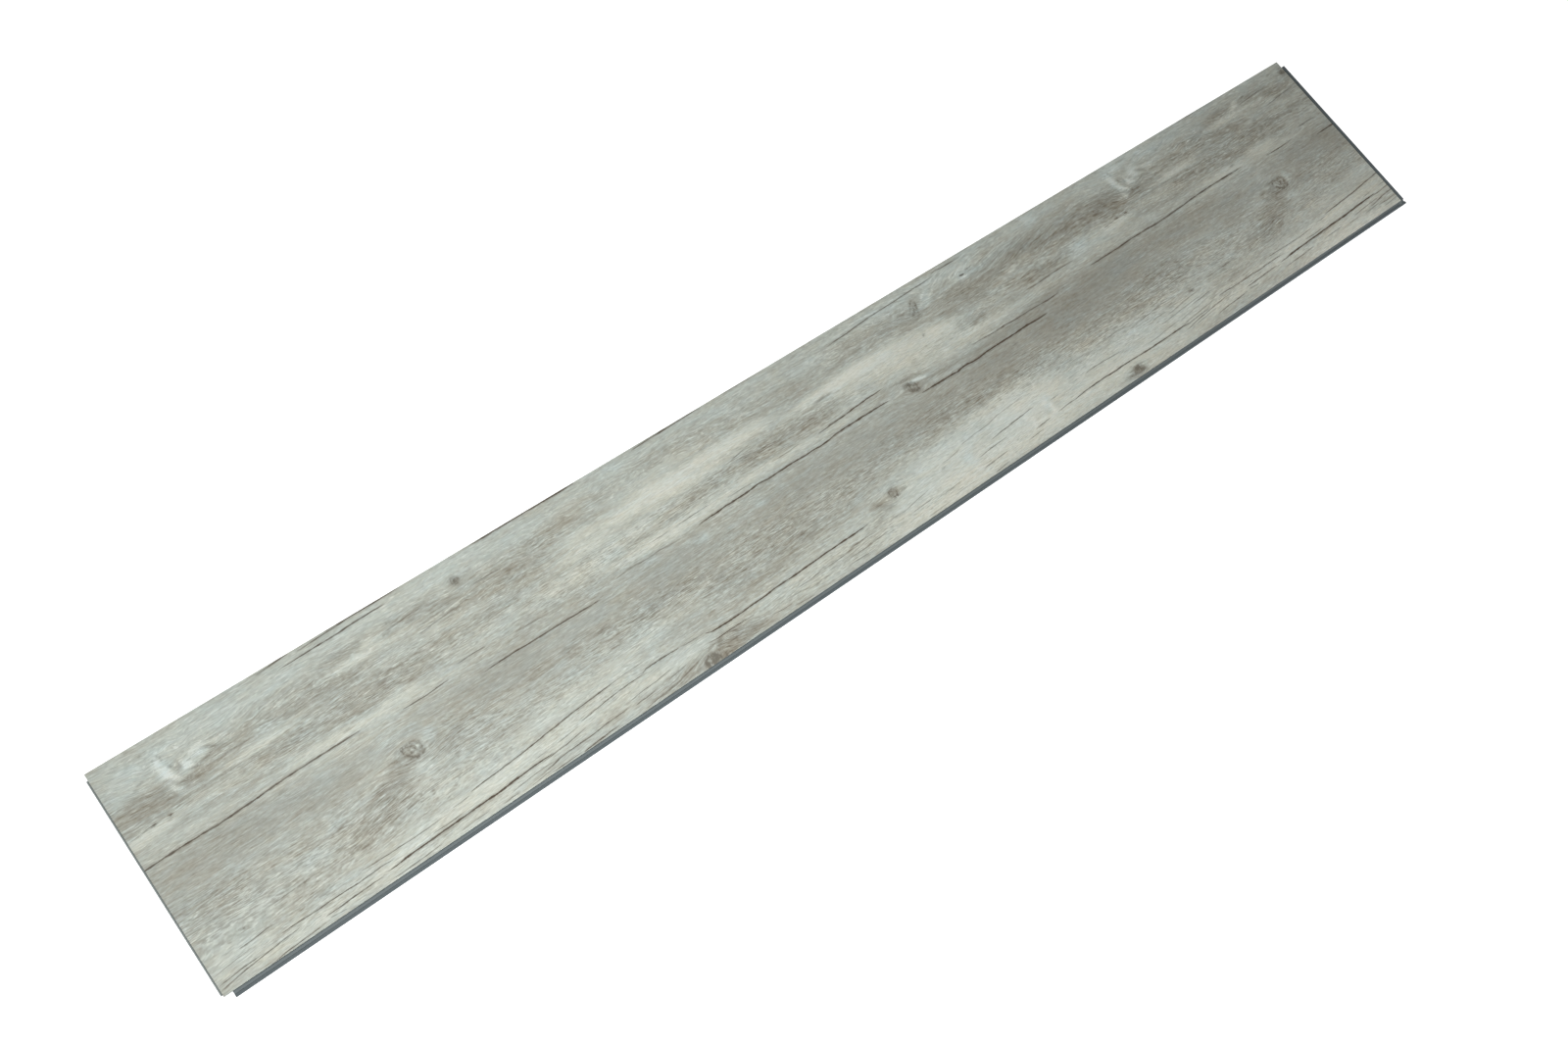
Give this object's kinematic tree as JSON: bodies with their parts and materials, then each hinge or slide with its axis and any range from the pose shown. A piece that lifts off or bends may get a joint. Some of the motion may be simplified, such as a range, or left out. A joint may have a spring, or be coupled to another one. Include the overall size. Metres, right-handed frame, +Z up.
{
  "type": "vinyl floor plank",
  "caption": "Rigid vinyl click-lock floor plank with a whitewashed pine print and a dark grey core, milled with locking lips along one side and end and tongues along the others.",
  "frame": {"origin": "on the underside, below the centre of the 1220 x 180 mm printed face", "axes": "+X along the length towards the end with the locking lip, +Y across the width towards the long side with the tongue, +Z up out of the printed face"},
  "size_m": [1.2276, 0.1853, 0.005],
  "materials": {
    "core": "milled grey vinyl, matt",
    "print": "whitewashed pine print under an embossed matt wear layer"
  },
  "bodies": {
    "root": {"vinyl_core": "core", "printed_face_layer": "print"}
  },
  "joints": []
}
